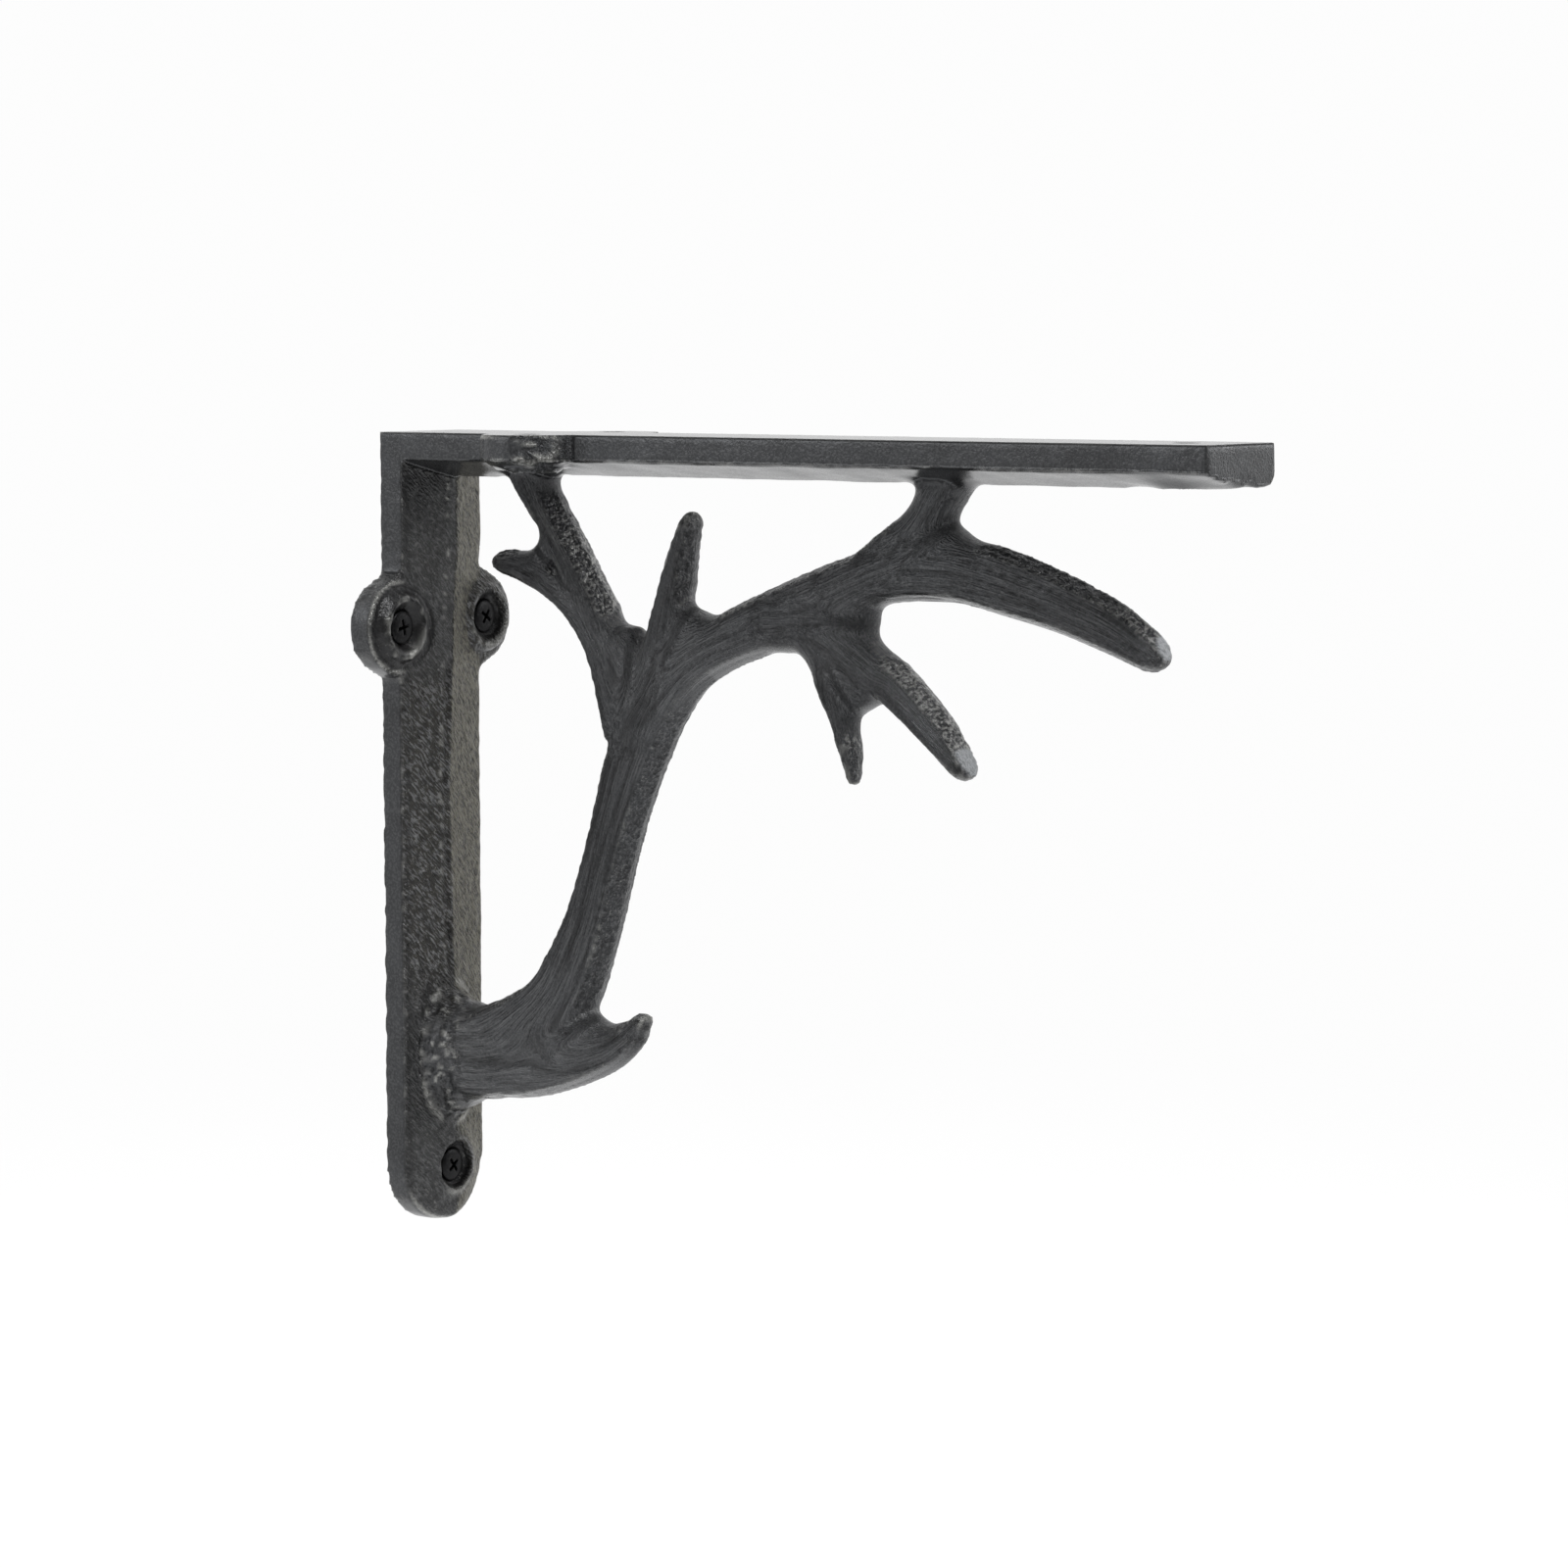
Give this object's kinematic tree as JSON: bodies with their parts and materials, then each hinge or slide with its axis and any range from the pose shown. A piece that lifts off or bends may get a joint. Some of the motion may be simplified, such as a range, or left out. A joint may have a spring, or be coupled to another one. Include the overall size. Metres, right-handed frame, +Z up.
{
  "type": "shelf bracket",
  "caption": "Cast-iron shelf bracket: a ridged wall strap and shelf arm braced by a branching deer antler.",
  "frame": {"origin": "on the wall face, midway between the two upper screw holes", "axes": "+X out from the wall along the shelf arm, +Y across the bracket, +Z up to the shelf"},
  "size_m": [0.2085, 0.0496, 0.178],
  "materials": {
    "cast_iron": "dark satin, lightly burnished, straight from the sand mould",
    "blackened_steel": "black oxide, satin"
  },
  "bodies": {
    "root": {"bracket_casting": "cast_iron", "wall_screw_left": "blackened_steel", "wall_screw_right": "blackened_steel", "wall_screw_lower": "blackened_steel"}
  },
  "joints": []
}
